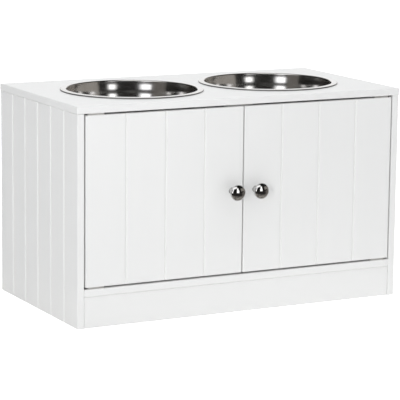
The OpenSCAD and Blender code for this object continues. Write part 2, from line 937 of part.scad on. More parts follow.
top_board();
left_side_panel();
right_side_panel();
bottom_shelf();
kickboard();
rear_rail();
back_panel();
cam_bolts();
cam_locks();
dowels();
upper_left_leaf();
lower_left_leaf();
upper_right_leaf();
lower_right_leaf();
hinge_pins();
hinge_washers();
cabinet_leaf_screws();
catch_housing();
catch_magnets();
catch_pole_plates();
catch_screws();
left_door();
left_door_upper_leaf();
left_door_lower_leaf();
left_door_leaf_screws();
left_knob();
left_knob_screw();
left_strike_plate();
left_strike_screw();
right_door();
right_door_upper_leaf();
right_door_lower_leaf();
right_door_leaf_screws();
right_knob();
right_knob_screw();
right_strike_plate();
right_strike_screw();
left_bowl();
right_bowl();
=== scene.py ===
# The looks of a raised feeding cabinet: painted boards with routed plank grooves,
# two doors on knife hinges, and two pressed steel bowls hung in the top board.
# Metres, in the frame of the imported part: X right, Y to the back, Z up.
import math

import bmesh
import bpy
from mathutils import Matrix, Vector


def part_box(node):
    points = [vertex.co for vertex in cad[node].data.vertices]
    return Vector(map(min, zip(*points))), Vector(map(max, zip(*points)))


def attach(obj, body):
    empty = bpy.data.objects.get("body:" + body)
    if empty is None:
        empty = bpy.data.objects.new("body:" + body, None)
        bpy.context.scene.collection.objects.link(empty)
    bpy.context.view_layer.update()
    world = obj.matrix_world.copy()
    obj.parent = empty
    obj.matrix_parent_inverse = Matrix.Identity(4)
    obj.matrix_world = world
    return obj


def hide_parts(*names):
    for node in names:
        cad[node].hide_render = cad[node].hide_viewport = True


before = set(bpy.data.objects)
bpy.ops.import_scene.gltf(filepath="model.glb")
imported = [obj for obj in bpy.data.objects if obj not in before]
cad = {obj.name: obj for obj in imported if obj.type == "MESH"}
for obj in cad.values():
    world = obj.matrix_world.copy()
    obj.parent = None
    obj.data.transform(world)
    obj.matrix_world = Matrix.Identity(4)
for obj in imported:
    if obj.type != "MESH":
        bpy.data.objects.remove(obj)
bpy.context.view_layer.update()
mm = 0.001


# ------------------------------------------------------------------ photo studio
# The camera stands at the left front, a little above the top board, with a long
# lens. The floor is plain and pale, and what lies behind the cabinet is white.

scene = bpy.context.scene
scene.view_settings.view_transform = "Standard"


def stand_camera(yaw, pitch, roll, aim, distance, lens):
    """A camera at the left front that looks at aim, rolled about its own axis."""
    back = Vector((-math.sin(yaw) * math.cos(pitch), -math.cos(yaw) * math.cos(pitch), math.sin(pitch)))
    camera = bpy.data.objects.new("camera", bpy.data.cameras.new("camera"))
    camera.data.sensor_width = 36
    camera.data.lens = lens
    camera.location = aim + back * distance
    camera.rotation_mode = "QUATERNION"
    upright_look = (-back).to_track_quat("-Z", "Y")
    camera.rotation_quaternion = Matrix.Rotation(roll, 4, back).to_quaternion() @ upright_look
    scene.collection.objects.link(camera)
    scene.camera = camera


stand_camera(yaw=math.radians(27.62), pitch=math.radians(10.39), roll=math.radians(0.63),
             aim=Vector((2.8, 14, 162.1)) * mm, distance=3.602, lens=188.8)


def add_node(tree, kind, *inputs, settings=None, **named):
    """Adds a node. Its inputs come in order or by name, and a socket given for one is linked to it."""
    made = tree.nodes.new(kind)
    for name, value in (settings or {}).items():
        setattr(made, name, value)
    pairs = list(zip([socket for socket in made.inputs if socket.enabled], inputs))
    pairs += [(made.inputs[name.replace("_", " ")], value) for name, value in named.items()]
    for socket, value in pairs:
        if isinstance(value, bpy.types.NodeSocket):
            tree.links.new(value, socket)
        elif value is not None:
            socket.default_value = value
    return next((socket for socket in made.outputs if socket.enabled), made)


def calculate(tree, operation, *values):
    """One step of arithmetic on sockets and numbers."""
    return add_node(tree, "ShaderNodeMath", *values, settings={"operation": operation})


def new_material(name):
    """An empty material and its node tree."""
    material = bpy.data.materials.new(name)
    material.use_nodes = True
    material.node_tree.nodes.clear()
    return material, material.node_tree


def fade(tree, value, start, end):
    """Rises smoothly from 0 to 1 while the value goes from start to end, in either direction."""
    return add_node(tree, "ShaderNodeMapRange", value, start, end, 0, 1,
                    settings={"interpolation_type": "SMOOTHSTEP"})


def background_rays(tree):
    """1 for the rays that see the background: from the camera, off a gloss, through glass."""
    path = tree.nodes.new("ShaderNodeLightPath").outputs
    seen = calculate(tree, "MAXIMUM", path["Is Camera Ray"], path["Is Glossy Ray"])
    return calculate(tree, "MAXIMUM", seen, path["Is Transmission Ray"])


scene.world = bpy.data.worlds.new("studio_air")
scene.world.use_nodes = True
tree = scene.world.node_tree
tree.nodes.clear()
direction = tree.nodes.new("ShaderNodeTexCoord").outputs["Generated"]
upward = calculate(tree, "MAXIMUM", add_node(tree, "ShaderNodeSeparateXYZ", direction).node.outputs["Z"], 0)
overhead_strength = 1.97
level = calculate(tree, "MULTIPLY", calculate(tree, "POWER", upward, 2), overhead_strength)
soft_air = add_node(tree, "ShaderNodeBackground", (0.985, 0.992, 1, 1), level)
white_air = add_node(tree, "ShaderNodeBackground", (1, 1, 1, 1), 1.0)
add_node(tree, "ShaderNodeOutputWorld",
         add_node(tree, "ShaderNodeMixShader", background_rays(tree), soft_air, white_air))

# The paper also glows faintly from the kickboard's foot backwards, as if lit from
# below, and more for the rays that see the background, which turns it white.
# The strip's sides are metres along an axis: (where it is 0, where it is 1).
strip_glow, background_glow, paper_radius, paper_drop = 0.23, 0.72, 8000, 0.3
strip_front, strip_left, strip_right = (-0.34, -0.22), (-0.5, 0.1), (0.42, 0.3)
floor_paper, tree = new_material("floor_paper")
paper = add_node(tree, "ShaderNodeBsdfDiffuse", (0.95, 0.95, 0.95, 1))
spot = tree.nodes.new("ShaderNodeTexCoord").outputs["Object"]
east, north, up = add_node(tree, "ShaderNodeSeparateXYZ", spot).node.outputs
strip = calculate(tree, "MULTIPLY", fade(tree, north, *strip_front), fade(tree, east, *strip_left))
strip = calculate(tree, "MULTIPLY", strip, fade(tree, east, *strip_right))
shine = calculate(tree, "MULTIPLY_ADD", strip, strip_glow,
                  calculate(tree, "MULTIPLY", background_rays(tree), background_glow))
glow = add_node(tree, "ShaderNodeEmission", (1, 1, 1, 1), shine)
add_node(tree, "ShaderNodeOutputMaterial", add_node(tree, "ShaderNodeAddShader", paper, glow))


def new_piece(name, mesh, *materials):
    """An object for a finished mesh."""
    for material in materials:
        mesh.materials.append(material)
    made = bpy.data.objects.new(name, mesh)
    scene.collection.objects.link(made)
    return made


def turned(name, outline, material, steps=96, place=Matrix.Identity(4)):
    """A turned piece: (radius, height) points in millimetres swept round Z, then put in place."""
    shape = bmesh.new()
    ring = [shape.verts.new((r * mm, 0, z * mm)) for r, z in outline]
    edges = [shape.edges.new(pair) for pair in zip(ring, ring[1:])]
    bmesh.ops.spin(shape, geom=ring + edges, axis=(0, 0, 1), cent=(0, 0, 0), angle=math.tau, steps=steps)
    bmesh.ops.remove_doubles(shape, verts=shape.verts, dist=0.001 * mm)
    bmesh.ops.transform(shape, matrix=place, verts=shape.verts)
    bmesh.ops.recalc_face_normals(shape, faces=shape.faces)
    mesh = bpy.data.meshes.new(name)
    shape.to_mesh(mesh)
    shape.free()
    mesh.shade_smooth()
    return new_piece(name, mesh, material)


floor = turned("floor", [(0, 0), (paper_radius, 0)], floor_paper,
               place=Matrix.Translation((0, 0, -paper_drop * mm)))


def softbox(name, azimuth, distance, width, bottom, top, power):
    """An upright soft lamp that faces the cabinet; azimuth counts from the front to the right, in degrees."""
    around = math.radians(azimuth)
    away = Vector((math.sin(around), -math.cos(around), 0))
    lamp = bpy.data.lights.new(name, "AREA")
    lamp.shape = "RECTANGLE"
    lamp.size, lamp.size_y = width, top - bottom
    lamp.energy = power
    made = bpy.data.objects.new(name, lamp)
    made.location = away * distance + Vector((0, 0, (bottom + top) / 2))
    made.rotation_mode = "QUATERNION"
    made.rotation_quaternion = away.to_track_quat("Z", "Y")
    made.visible_glossy = False
    scene.collection.objects.link(made)


softbox("key_softbox", azimuth=-42, distance=4, width=0.5, bottom=0.6, top=1.2, power=32.5)
softbox("fill_softbox", azimuth=38, distance=4, width=0.5, bottom=0.6, top=1.2, power=11.8)
softbox("side_softbox", azimuth=-60, distance=1.8, width=0.8, bottom=0.3, top=1.1, power=2.4)


def soft_patch(tree, bearing, height, left, right, low, high):
    """1 inside a patch with soft edges, each given as (where it is 0, where it is 1) in degrees."""
    sides = calculate(tree, "MULTIPLY", fade(tree, bearing, *left), fade(tree, bearing, *right))
    ends = calculate(tree, "MULTIPLY", fade(tree, height, *low), fade(tree, height, *high))
    return calculate(tree, "MULTIPLY", sides, ends)


def mix_colours(tree, share, first, second):
    """A colour between two others."""
    return add_node(tree, "ShaderNodeMix", share, first, second, settings={"data_type": "RGBA"})


# Polished steel shows a painted dark room: a glowing dome seen only in reflections, with painted
# reflections of two tall softboxes, a large one overhead, brown walls at the sides and a white one
# behind. Its heights are angles seen from bowl_level. Sizes of the dome are in millimetres.
bowl_level, room_radius, wall_height, dome_height = 0.33, 3200, 2400, 3200
reflected_room_glow, tree = new_material("reflected_room_glow")
spot = tree.nodes.new("ShaderNodeTexCoord").outputs["Object"]
east, north, up = add_node(tree, "ShaderNodeSeparateXYZ", spot).node.outputs
degree = math.pi / 180
south = calculate(tree, "MULTIPLY", north, -1)
bearing = calculate(tree, "DIVIDE", calculate(tree, "ARCTAN2", east, south), degree)
from_middle = calculate(tree, "SQRT", calculate(tree, "ADD", calculate(tree, "MULTIPLY", east, east),
                                                calculate(tree, "MULTIPLY", north, north)))
above_top = calculate(tree, "SUBTRACT", up, bowl_level)
height = calculate(tree, "DIVIDE", calculate(tree, "ARCTAN2", above_top, from_middle), degree)
behind_and_up = calculate(tree, "MULTIPLY", fade(tree, height, 34, 56), fade(tree, north, 0, 1))
colour = mix_colours(tree, behind_and_up, (0.016, 0.015, 0.014, 1), (0.17, 0.168, 0.165, 1))
for left, right, low, high, shade in (
        ((-94, -88), (-62, -68), (-1, 5), (26, 20), (0.14, 0.13, 0.12, 1)),
        ((34, 40), (76, 64), (-2, 3), (26, 18), (0.33, 0.31, 0.285, 1)),
        ((62, 72), (150, 140), (-9, -7), (22, 14), (0.33, 0.31, 0.285, 1)),
        ((132, 140), (178, 170), (-9, -7), (36, 28), (1, 1, 1, 1)),
        ((-2, 8), (20, 12), (9.5, 14.5), (38, 28), (2.2, 2.2, 2.2, 1)),
        ((-65, -61), (-38, -50), (9, 14), (42, 32), (2.0, 2.0, 2.05, 1)),
        ((-108, -92), (12, -6), (32, 38), (72, 64), (1.7, 1.7, 1.7, 1))):
    colour = mix_colours(tree, soft_patch(tree, bearing, height, left, right, low, high), colour, shade)
# Painted reflection of the floor: lit and mottled near the cabinet, brown towards the right, dark elsewhere.
mottle = add_node(tree, "ShaderNodeTexNoise", Vector=spot, Scale=7, Detail=3)
near_floor = calculate(tree, "MULTIPLY", fade(tree, from_middle, 0.62, 0.22), fade(tree, mottle, 0.2, 0.6))
floor_colour = mix_colours(tree, soft_patch(tree, bearing, 0, (30, 60), (150, 140), (-1, 0), (1, 0)),
                           (0.03, 0.028, 0.026, 1), (0.2, 0.185, 0.17, 1))
floor_colour = mix_colours(tree, near_floor, floor_colour, (0.5, 0.475, 0.435, 1))
colour = mix_colours(tree, fade(tree, up, 0.002, 0.001), colour, floor_colour)
add_node(tree, "ShaderNodeOutputMaterial", add_node(tree, "ShaderNodeEmission", colour, 1.0))


def show_in_gloss(made):
    """Makes a piece of the studio show in reflections only."""
    made.visible_camera = made.visible_diffuse = made.visible_transmission = made.visible_shadow = False


show_in_gloss(turned("room", [(0, -0.1), (room_radius, -0.1), (room_radius, wall_height), (0, dome_height)],
                     reflected_room_glow))

# Two cards near and low glow and show only in reflections: painted reflections of the feet of the two front
# softboxes, for the knobs to reflect.
card_bottom, card_top = 0.13, 0.42
reflection_card_glow, tree = new_material("reflection_card_glow")
add_node(tree, "ShaderNodeOutputMaterial", add_node(tree, "ShaderNodeEmission", (1, 1, 1, 1), 2.2))
for number, (left, right) in enumerate(((0, 17), (-63, -44))):
    edges = ((left, card_bottom), (right, card_bottom), (right, card_top), (left, card_top))
    corners = [(math.sin(around * degree), -math.cos(around * degree), z) for around, z in edges]
    card = bpy.data.meshes.new("reflected_glow_card")
    card.from_pydata(corners, [], [(0, 1, 2, 3)])
    show_in_gloss(new_piece("reflected_glow_card_" + str(number + 1), card, reflection_card_glow))


# ------------------------------------------------------------------- side panels
# Fibreboard with a routed V-groove between planks, sprayed satin white. Bolts and
# dowels enter the inner face, and cams sit in its pockets.


def solids(node):
    """The separate solids of a CAD node, each as the list of its corner points."""
    shape = bmesh.new()
    shape.from_mesh(cad[node].data)
    bmesh.ops.remove_doubles(shape, verts=shape.verts, dist=0.001 * mm)
    shape.verts.ensure_lookup_table()
    found, met = [], [False] * len(shape.verts)
    for first in shape.verts:
        if met[first.index]:
            continue
        met[first.index] = True
        reached = [first]
        for vertex in reached:
            for edge in vertex.link_edges:
                other = edge.other_vert(vertex)
                if not met[other.index]:
                    met[other.index] = True
                    reached.append(other)
        found.append([vertex.co.copy() for vertex in reached])
    shape.free()
    return found


def add_blanks(shape, node, room):
    """Adds a node's solids to a cutter, each filled out and grown by room: what a drill takes out for it."""
    for corners in solids(node):
        blank = bmesh.new()
        for corner in corners:
            blank.verts.new(corner)
        hull = bmesh.ops.convex_hull(blank, input=blank.verts)
        inside = hull["geom_interior"] + hull["geom_unused"]
        spare = {part for part in inside if isinstance(part, bmesh.types.BMVert)}
        bmesh.ops.delete(blank, geom=list(spare), context="VERTS")
        bmesh.ops.recalc_face_normals(blank, faces=blank.faces)
        blank.normal_update()
        grown = [vertex.co + vertex.normal * vertex.calc_shell_factor() * room for vertex in blank.verts]
        for vertex, place in zip(blank.verts, grown):
            vertex.co = place
        part = bpy.data.meshes.new("blank")
        blank.to_mesh(part)
        shape.from_mesh(part)
        bpy.data.meshes.remove(part)
        blank.free()


def new_tree(name, **inputs):
    """A Geometry Nodes tree with these inputs, each as name=kind of socket; returns it and their sockets."""
    tree = bpy.data.node_groups.new(name, "GeometryNodeTree")
    tree.interface.new_socket("Geometry", in_out="OUTPUT", socket_type="NodeSocketGeometry")
    for label, kind in inputs.items():
        tree.interface.new_socket(label.replace("_", " "), in_out="INPUT", socket_type="NodeSocket" + kind)
    return tree, tree.nodes.new("NodeGroupInput").outputs


def grown(name, tree, start, **values):
    """Runs a tree on a start mesh with these input values, and keeps the result as a plain mesh."""
    made = new_piece(name, start)
    run = made.modifiers.new("grow", "NODES")
    run.node_group = tree
    keys = {item.name: item.identifier for item in tree.interface.items_tree if item.in_out == "INPUT"}
    for label, value in values.items():
        run[keys[label.replace("_", " ")]] = value
    shaped = bpy.data.meshes.new_from_object(made.evaluated_get(bpy.context.evaluated_depsgraph_get()))
    made.modifiers.clear()
    made.data = shaped
    shaped.name = name
    return made


planked, given = new_tree(
    "planked_board", Fixings="Geometry", Corner="Vector", Turn="Float", Width="Float", Thickness="Float",
    Height="Float", Planks="Int", Groove_Width="Float", Groove_Depth="Float", Edge_Radius="Float",
    Lip_Radius="Float", Steps="Int", Paint="Material")
tree = planked

# The outline: three points for each groove, then the board's four corners.
order = add_node(tree, "GeometryNodeInputIndex")
grooved = calculate(tree, "MULTIPLY_ADD", given["Planks"], 3, -3)
phase = calculate(tree, "SUBTRACT", calculate(tree, "MODULO", order, 3), 1)
groove = calculate(tree, "ADD", calculate(tree, "FLOOR", calculate(tree, "DIVIDE", order, 3)), 1)
pitch = calculate(tree, "DIVIDE", given["Width"], given["Planks"])
half_groove = calculate(tree, "DIVIDE", given["Groove Width"], 2)
inward = calculate(tree, "SUBTRACT", 1, calculate(tree, "ABSOLUTE", phase))
groove_x = calculate(tree, "MULTIPLY_ADD", groove, pitch, calculate(tree, "MULTIPLY", phase, half_groove))
groove_y = calculate(tree, "MULTIPLY", inward, given["Groove Depth"])
corner = calculate(tree, "SUBTRACT", order, grooved)
corner_x = calculate(tree, "MULTIPLY", calculate(tree, "LESS_THAN", corner, 1.5), given["Width"])
from_middle_pair = calculate(tree, "ABSOLUTE", calculate(tree, "SUBTRACT", corner, 1.5))
middle_pair = calculate(tree, "LESS_THAN", from_middle_pair, 1)
corner_y = calculate(tree, "MULTIPLY", middle_pair, given["Thickness"])
is_corner = add_node(tree, "FunctionNodeCompare", corner, -0.5, settings={"operation": "GREATER_THAN"})


def either(tree, test, no, yes):
    """One of two numbers, by a test."""
    return add_node(tree, "GeometryNodeSwitch", test, no, yes, settings={"input_type": "FLOAT"})


def together(tree, x, y, z):
    """A vector from three numbers."""
    return add_node(tree, "ShaderNodeCombineXYZ", x, y, z)


line = add_node(tree, "GeometryNodeCurvePrimitiveLine", End=(0, 0, 1))
line = add_node(tree, "GeometryNodeResampleCurve", Curve=line, Count=calculate(tree, "ADD", grooved, 4))
outline = add_node(tree, "GeometryNodeSetPosition", Geometry=line, Position=together(
    tree, either(tree, is_corner, groove_x, corner_x), either(tree, is_corner, groove_y, corner_y), 0))
outline = add_node(tree, "GeometryNodeSetSplineCyclic", Geometry=outline, Cyclic=True)
outline = add_node(tree, "GeometryNodeFilletCurve", Curve=outline, Count=4, settings={"mode": "POLY"},
                   Radius=either(tree, is_corner, given["Lip Radius"], given["Edge Radius"]))
place = add_node(tree, "ShaderNodeSeparateXYZ", add_node(tree, "GeometryNodeInputPosition")).node.outputs
captured = tree.nodes.new("GeometryNodeCaptureAttribute")
captured.capture_items.new("VECTOR", "Outline")
tree.links.new(outline, captured.inputs["Geometry"])
tree.links.new(add_node(tree, "GeometryNodeInputPosition"), captured.inputs["Outline"])

# The path up the board: its levels crowd at both ends, where the edges are rounded.
levels = calculate(tree, "MULTIPLY_ADD", given["Steps"], 2, 2)
top_level = calculate(tree, "SUBTRACT", levels, 1)
from_end = calculate(tree, "MINIMUM", order, calculate(tree, "SUBTRACT", top_level, order))
angle = calculate(tree, "MULTIPLY", calculate(tree, "DIVIDE", from_end, given["Steps"]), math.pi / 2)
rise = calculate(tree, "MULTIPLY", calculate(tree, "SUBTRACT", 1, calculate(tree, "COSINE", angle)),
                 given["Edge Radius"])
upper_half = add_node(tree, "FunctionNodeCompare", order, calculate(tree, "DIVIDE", top_level, 2),
                      settings={"operation": "GREATER_THAN"})
level_z = either(tree, upper_half, rise, calculate(tree, "SUBTRACT", given["Height"], rise))
path = add_node(tree, "GeometryNodeResampleCurve", Curve=line, Count=levels)
path = add_node(tree, "GeometryNodeSetPosition", Geometry=path, Position=together(tree, 0, 0, level_z))
swept = add_node(tree, "GeometryNodeCurveToMesh", Curve=path, Profile_Curve=captured.outputs["Geometry"],
                 Fill_Caps=True)

# Near its ends the section is held in by the rounding of the end edges.
swept_place = add_node(tree, "GeometryNodeInputPosition")
height_now = add_node(tree, "ShaderNodeSeparateXYZ", swept_place).node.outputs["Z"]
to_end = calculate(tree, "MINIMUM", height_now, calculate(tree, "SUBTRACT", given["Height"], height_now))
hollow = calculate(tree, "SUBTRACT", given["Edge Radius"],
                   calculate(tree, "MINIMUM", to_end, given["Edge Radius"]))
chord = calculate(tree, "SQRT", calculate(tree, "MAXIMUM", 0, calculate(
    tree, "SUBTRACT", calculate(tree, "MULTIPLY", given["Edge Radius"], given["Edge Radius"]),
    calculate(tree, "MULTIPLY", hollow, hollow))))
held = calculate(tree, "SUBTRACT", given["Edge Radius"], chord)
section = add_node(tree, "ShaderNodeSeparateXYZ", captured.outputs["Outline"]).node.outputs


def held_in(tree, value, size):
    """A coordinate of the section, kept inside the rounded end."""
    return calculate(tree, "MINIMUM", calculate(tree, "MAXIMUM", value, held),
                     calculate(tree, "SUBTRACT", size, held))


board = add_node(tree, "GeometryNodeSetPosition", Geometry=swept, Position=together(
    tree, held_in(tree, section["X"], given["Width"]), held_in(tree, section["Y"], given["Thickness"]),
    height_now))
board = add_node(tree, "GeometryNodeMergeByDistance", Geometry=board, Distance=0.002 * mm)
in_groove = calculate(tree, "DIVIDE", section["Y"], given["Groove Depth"])
in_groove = calculate(tree, "MULTIPLY", in_groove, calculate(tree, "LESS_THAN", in_groove, 1.05))
board = add_node(tree, "GeometryNodeStoreNamedAttribute", Geometry=board, Name="routed", Value=in_groove,
                 settings={"data_type": "FLOAT", "domain": "POINT"})
board = add_node(tree, "GeometryNodeTransform", Geometry=board, Translation=given["Corner"],
                 Rotation=together(tree, 0, 0, given["Turn"]))
board = add_node(tree, "GeometryNodeMeshBoolean", board, given["Fixings"], True,
                 settings={"operation": "DIFFERENCE", "solver": "EXACT"})
board = add_node(tree, "GeometryNodeRealizeInstances", Geometry=board)
board = add_node(tree, "GeometryNodeSetMaterial", Geometry=board, Material=given["Paint"])
add_node(tree, "NodeGroupOutput", board)


def object_place(tree, scale=(1, 1, 1), location=(0, 0, 0), turn=(0, 0, 0)):
    """The point on the piece in its own coordinates, which the finishes are laid out on."""
    here = tree.nodes.new("ShaderNodeTexCoord").outputs["Object"]
    return add_node(tree, "ShaderNodeMapping", Vector=here, Location=location, Rotation=turn, Scale=scale)


def noise(tree, place, scale, detail=2, roughness=0.5):
    """Fractal noise from 0 to 1."""
    return add_node(tree, "ShaderNodeTexNoise", Vector=place, Scale=scale, Detail=detail, Roughness=roughness)


def between(tree, value, low, high):
    """A value from 0 to 1 spread between two others."""
    return add_node(tree, "ShaderNodeMapRange", value, 0, 1, low, high)


def bump(tree, height, depth, under=None):
    """A surface disturbed by height times depth, on top of another disturbance."""
    return add_node(tree, "ShaderNodeBump", Strength=1, Distance=depth, Height=height, Normal=under)


def close_material(material, **surface):
    """Ends a material with its surface shader."""
    tree = material.node_tree
    add_node(tree, "ShaderNodeOutputMaterial", add_node(tree, "ShaderNodeBsdfPrincipled", **surface))
    return material


def satin_paint(name, rolled_along):
    """Two sprayed coats of satin white: faint drift in tone, orange peel, a duller, drier groove, and painted
    shade that darkens the groove.
    """
    material, tree = new_material(name)
    here = object_place(tree)
    drift = noise(tree, here, 9, detail=3)
    stroke = noise(tree, object_place(tree, scale=rolled_along), 1, detail=4, roughness=0.6)
    peel = noise(tree, here, 420, detail=2)
    grain = noise(tree, here, 2600, detail=1)
    routed = add_node(tree, "ShaderNodeAttribute", settings={"attribute_name": "routed"}).node.outputs["Fac"]
    tone = calculate(tree, "MULTIPLY_ADD", stroke, 0.5, calculate(tree, "MULTIPLY", drift, 0.5))
    colour = mix_colours(tree, tone, (0.845, 0.847, 0.842, 1), (0.876, 0.876, 0.868, 1))
    # Painted shade: the colour darkens towards the bottom of the routed grooves.
    colour = mix_colours(tree, calculate(tree, "MULTIPLY", routed, 0.5), colour, (0.83, 0.828, 0.815, 1))
    sheen = calculate(tree, "MULTIPLY_ADD", routed, 0.14, between(tree, drift, 0.33, 0.41))
    surface = bump(tree, peel, 0.012 * mm, bump(tree, grain, 0.002 * mm))
    return close_material(material, Base_Color=colour, Roughness=sheen, Normal=surface)


upright_paint = satin_paint("satin_white_upright", rolled_along=(60, 60, 5))
level_paint = satin_paint("satin_white_level", rolled_along=(5, 60, 60))


def set_normals(piece, sharpest=34):
    """Smooth shading that keeps flat faces flat and edges past this many degrees crisp."""
    piece.data.shade_smooth()
    piece.data.set_sharp_from_angle(angle=math.radians(sharpest))
    even = piece.modifiers.new("even", "WEIGHTED_NORMAL")
    even.keep_sharp = True
    piece.data = bpy.data.meshes.new_from_object(piece.evaluated_get(bpy.context.evaluated_depsgraph_get()))
    piece.modifiers.clear()


def plank_work(name, node, planks, turn, fixings):
    """A planked board that stands for a CAD board, drilled for its fixings: {node: room round it}."""
    low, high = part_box(node)
    size = high - low
    width, thickness = (size.x, size.y) if abs(math.sin(turn)) < 0.5 else (size.y, size.x)
    corner = Vector((low.x if math.cos(turn) - math.sin(turn) > 0 else high.x,
                     low.y if math.cos(turn) + math.sin(turn) > 0 else high.y, low.z))
    cutters = bmesh.new()
    for fixing, room in fixings.items():
        add_blanks(cutters, fixing, room)
    start = bpy.data.meshes.new(name)
    cutters.to_mesh(start)
    cutters.free()
    board = grown(name, planked, start, Corner=corner, Turn=turn, Width=width, Thickness=thickness,
                  Height=size.z, Planks=planks, Groove_Width=4 * mm, Groove_Depth=2 * mm,
                  Edge_Radius=1.5 * mm, Lip_Radius=0.6 * mm, Steps=4, Paint=upright_paint)
    set_normals(board)
    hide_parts(node)
    return board


quarter = math.pi / 2
for side, turn in (("left", -quarter), ("right", quarter)):
    panel = plank_work(side + "_side_boards", side + "_side_panel", planks=6, turn=turn,
                       fixings={"cam_locks": 0.05 * mm, "cam_bolts": 0.05 * mm, "dowels": 0.05 * mm,
                                "back_panel": 0.25 * mm})
    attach(panel, "cabinet")


# ------------------------------------------------- top, shelf, kickboard and back
# Plain fibreboard pieces with eased edges, in the same paint. The top has a round
# hole for each bowl, and the thin back slides in grooves of the sides and the top.


def coat(material, *nodes):
    """Gives carried-over CAD nodes their finish."""
    for node in nodes:
        for place in cad[node].material_slots:
            place.material = material


coat(level_paint, "top_board", "bottom_shelf", "kickboard", "rear_rail")
coat(upright_paint, "back_panel")


# ----------------------------------------------------------- cams, bolts, dowels
# Cast zinc cams draw turned bolts into the board ends, and grooved beech dowels
# keep the boards in line. All of them hide inside the joints.


def metal(name, dull, bright, roughness, grain_scale, depth, stretch=(1, 1, 1), shine=1.0):
    """A metal finish with grain: its tone, roughness and surface all follow the same grain."""
    material, tree = new_material(name)
    grain = noise(tree, object_place(tree, scale=stretch), grain_scale, detail=5, roughness=0.65)
    cloud = noise(tree, object_place(tree), 160, detail=2)
    return close_material(
        material, Base_Color=mix_colours(tree, grain, (*dull, 1), (*bright, 1)), Metallic=shine,
        Roughness=calculate(tree, "MULTIPLY_ADD", cloud, 0.1, between(tree, grain, *roughness)),
        Normal=bump(tree, grain, depth))


zinc_plate = metal("zinc_plate", (0.5, 0.51, 0.54), (0.68, 0.69, 0.7), (0.3, 0.42), 900, 0.02 * mm)
coat(zinc_plate, "cam_bolts", "cam_locks")


def bands(tree, value, low, high, *stops):
    """Grey bands over a value that runs from low to high: (value, grey) stops in rising order."""
    share = add_node(tree, "ShaderNodeMapRange", value, low, high)
    made = tree.nodes.new("ShaderNodeValToRGB")
    tree.links.new(share, made.inputs[0])
    points = made.color_ramp.elements
    points.remove(points[1])
    for order, (at, grey) in enumerate(stops):
        point = points.new((at - low) / (high - low)) if order else points[0]
        point.position = (at - low) / (high - low)
        point.color = (grey, grey, grey, 1)
    return made.outputs[0]


beech_wood, tree = new_material("beech_wood")
fibre = noise(tree, object_place(tree, scale=(1, 1, 0.06)), 1500, detail=6, roughness=0.6)
fleck = noise(tree, object_place(tree, scale=(1, 1, 0.2)), 3200, detail=2)
wood = mix_colours(tree, fibre, (0.47, 0.29, 0.15, 1), (0.72, 0.52, 0.31, 1))
dark_fleck = bands(tree, fleck, 0, 1, (0, 0), (0.62, 0), (0.72, 1), (1, 1))
wood = mix_colours(tree, dark_fleck, wood, (0.36, 0.2, 0.1, 1))
close_material(beech_wood, Base_Color=wood, Roughness=between(tree, fibre, 0.5, 0.68),
               Normal=bump(tree, fibre, 0.05 * mm))
coat(beech_wood, "dowels")


# ------------------------------------------------------------------------- doors
# Each door is one board with three routed grooves, painted like the sides. Its
# edges are bored for the hinge pins and leaf screws, its back for the strike plate's screw.

for side in ("left", "right"):
    door = plank_work(side + "_door_boards", side + "_door", planks=4, turn=0.0,
                      fixings={"hinge_pins": 1 * mm, side + "_door_leaf_screws": 0.03 * mm,
                               side + "_strike_screw": 0.03 * mm})
    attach(door, side + "_door")


# ----------------------------------------------------------------- knife hinges
# Nickelled steel leaves lie in the gaps above and below each door, one screwed to
# the cabinet and one to the door's edge, on a riveted pin with a nylon washer.

nickel_steel = metal("nickel_steel", (0.6, 0.585, 0.56), (0.74, 0.73, 0.71), (0.3, 0.42), 2400, 0.008 * mm,
                     stretch=(0.08, 1, 1), shine=0.4)
hinge_corners = [(level, side) for level in ("upper", "lower") for side in ("left", "right")]
cabinet_leaves = [level + "_" + side + "_leaf" for level, side in hinge_corners]
door_leaves = [side + "_door_" + level + "_leaf" for level, side in hinge_corners]
coat(nickel_steel, "hinge_pins", *cabinet_leaves, *door_leaves)

white_nylon, tree = new_material("white_nylon")
moulding = noise(tree, object_place(tree), 700, detail=3)
nylon = mix_colours(tree, moulding, (0.77, 0.765, 0.74, 1), (0.82, 0.815, 0.79, 1))
close_material(white_nylon, Base_Color=nylon, Roughness=between(tree, moulding, 0.38, 0.5),
               Subsurface_Weight=0.15, Subsurface_Scale=1.5 * mm, Normal=bump(tree, moulding, 0.01 * mm))
coat(white_nylon, "hinge_washers", "catch_housing")

driven, given = new_tree(
    "driven_screw", Places="Geometry", Face_Radius="Float", Neck_Radius="Float", Head_Height="Float",
    Core_Radius="Float", Ridge="Float", Pitch="Float", Length="Float", Plain_Length="Float",
    Point_Length="Float", Recess_Span="Float", Recess_Slot="Float", Recess_Depth="Float", Seed="Int",
    Steel="Material")
tree = driven


def cone(tree, top_radius, bottom_radius, length, bottom):
    """A closed cone or cylinder that stands on the height bottom."""
    made = add_node(tree, "GeometryNodeMeshCone", 40, 1, 1, top_radius, bottom_radius, length)
    return add_node(tree, "GeometryNodeTransform", made, Translation=together(tree, 0, 0, bottom))


def minus(tree, value):
    """A value with its sign turned round."""
    return calculate(tree, "MULTIPLY", value, -1)


